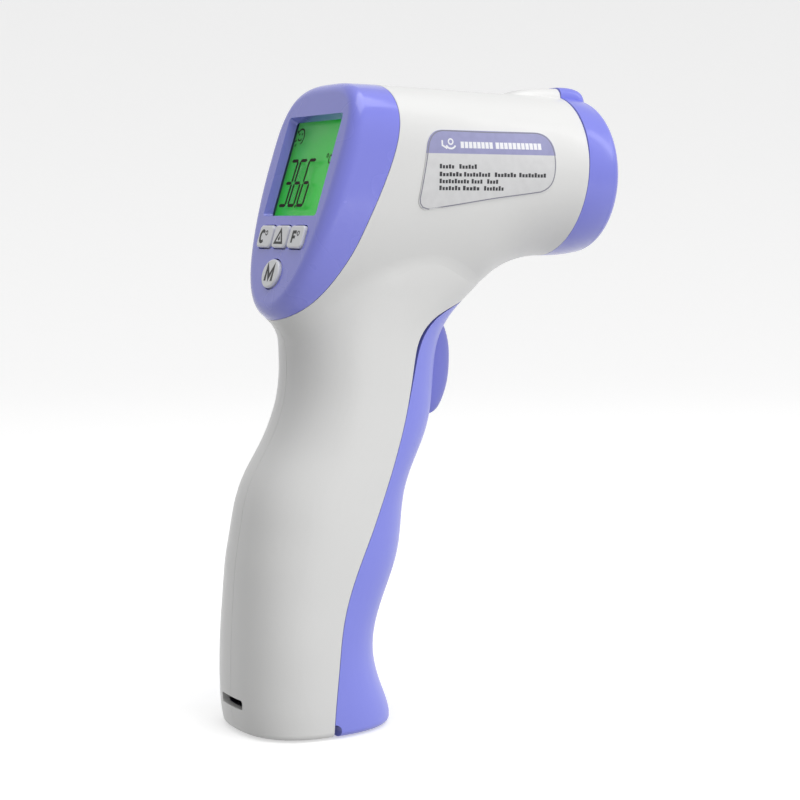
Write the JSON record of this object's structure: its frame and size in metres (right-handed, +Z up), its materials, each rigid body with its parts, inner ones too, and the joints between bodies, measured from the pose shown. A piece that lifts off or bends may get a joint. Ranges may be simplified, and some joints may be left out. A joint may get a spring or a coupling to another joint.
{
  "type": "infrared forehead thermometer",
  "caption": "Handheld non-contact digital thermometer with a pistol grip, tilted display with keys, trigger, sensor nose and hinged battery cover.",
  "frame": {"origin": "centre of the flat base under the grip", "axes": "X forward from the display to the sensor nose, Y to the left, Z up"},
  "size_m": [0.0977, 0.041, 0.1528],
  "materials": {
    "housing_white": "smooth semi-gloss moulded ABS",
    "bezel_lilac": "glossy moulded ABS",
    "cover_lilac": "smooth semi-gloss moulded ABS",
    "ring_lilac": "glossy moulded ABS",
    "trigger_lilac": "satin moulded ABS",
    "key_white": "satin moulded ABS with printed legends",
    "lens_clear": "clear acrylic",
    "lcd": "liquid crystal cell with printed segments",
    "backlight": "green light guide",
    "pcb": "solder mask on glass-epoxy",
    "chip_black": "moulded epoxy",
    "switch_black": "moulded nylon",
    "shroud_black": "matt black moulded ABS",
    "holder_black": "matt black moulded ABS",
    "tube_brass": "turned, bright",
    "can_steel": "drawn nickel-plated can",
    "filter_dark": "coated silicon window",
    "tray_black": "moulded ABS",
    "cell_wrap": "printed sleeve",
    "spring_steel": "nickel-plated wire",
    "plate_steel": "nickel-plated sheet",
    "screw_steel": "zinc-plated",
    "pin_steel": "ground",
    "label_print": "printed self-adhesive film",
    "wire_red": "PVC insulation",
    "buzzer_black": "moulded"
  },
  "bodies": {
    "case": {"left_housing": "housing_white", "right_housing": "housing_white", "display_bezel": "bezel_lilac", "display_lens": "lens_clear", "lcd_glass": "lcd", "lcd_backlight": "backlight", "main_board": "pcb", "controller_chip": "chip_black", "key_switches": "switch_black", "nose_ring": "ring_lilac", "sensor_shroud": "shroud_black", "sensor_holder": "holder_black", "sensor_tube": "tube_brass", "thermopile_can": "can_steel", "sensor_window": "filter_dark", "sensor_board": "pcb", "buzzer": "buzzer_black", "cover_hinge_pin": "pin_steel", "trigger_pin": "pin_steel", "trigger_spring": "spring_steel", "trigger_switch": "switch_black", "trigger_board": "pcb", "battery_tray": "tray_black", "aa_batteries": "cell_wrap", "battery_springs": "spring_steel", "battery_plates": "plate_steel", "case_screws": "screw_steel", "rating_label": "label_print", "wires": "wire_red"},
    "key_celsius": {"button_celsius": "key_white"},
    "key_alarm": {"button_alarm": "key_white"},
    "key_fahrenheit": {"button_fahrenheit": "key_white"},
    "key_mode": {"button_mode": "key_white"},
    "trigger": {"trigger": "trigger_lilac"},
    "battery_cover": {"front_cover": "cover_lilac"}
  },
  "joints": [
    {"name": "trigger_pull", "type": "hinge", "parent": "case", "child": "trigger", "pos_m": [0.0255, 0, 0.0995], "axis": [0, 1, 0], "range_deg": [0, 4], "stiffness_Nm_per_rad": 0.5, "springref_deg": -5.73},
    {"name": "celsius_press", "type": "slide", "parent": "case", "child": "key_celsius", "axis": [0.9542, 0, -0.299], "range_m": [0, 0.0006], "stiffness_N_per_m": 400, "springref_m": -0.0004},
    {"name": "alarm_press", "type": "slide", "parent": "case", "child": "key_alarm", "axis": [0.9542, 0, -0.299], "range_m": [0, 0.0006], "stiffness_N_per_m": 400, "springref_m": -0.0004},
    {"name": "fahrenheit_press", "type": "slide", "parent": "case", "child": "key_fahrenheit", "axis": [0.9542, 0, -0.299], "range_m": [0, 0.0006], "stiffness_N_per_m": 400, "springref_m": -0.0004},
    {"name": "mode_press", "type": "slide", "parent": "case", "child": "key_mode", "axis": [0.9542, 0, -0.299], "range_m": [0, 0.0006], "stiffness_N_per_m": 400, "springref_m": -0.0004},
    {"name": "cover_swing", "type": "hinge", "parent": "case", "child": "battery_cover", "pos_m": [-0.0008, 0, 0.0013], "axis": [0, 1, 0], "range_deg": [0, 70]}
  ]
}
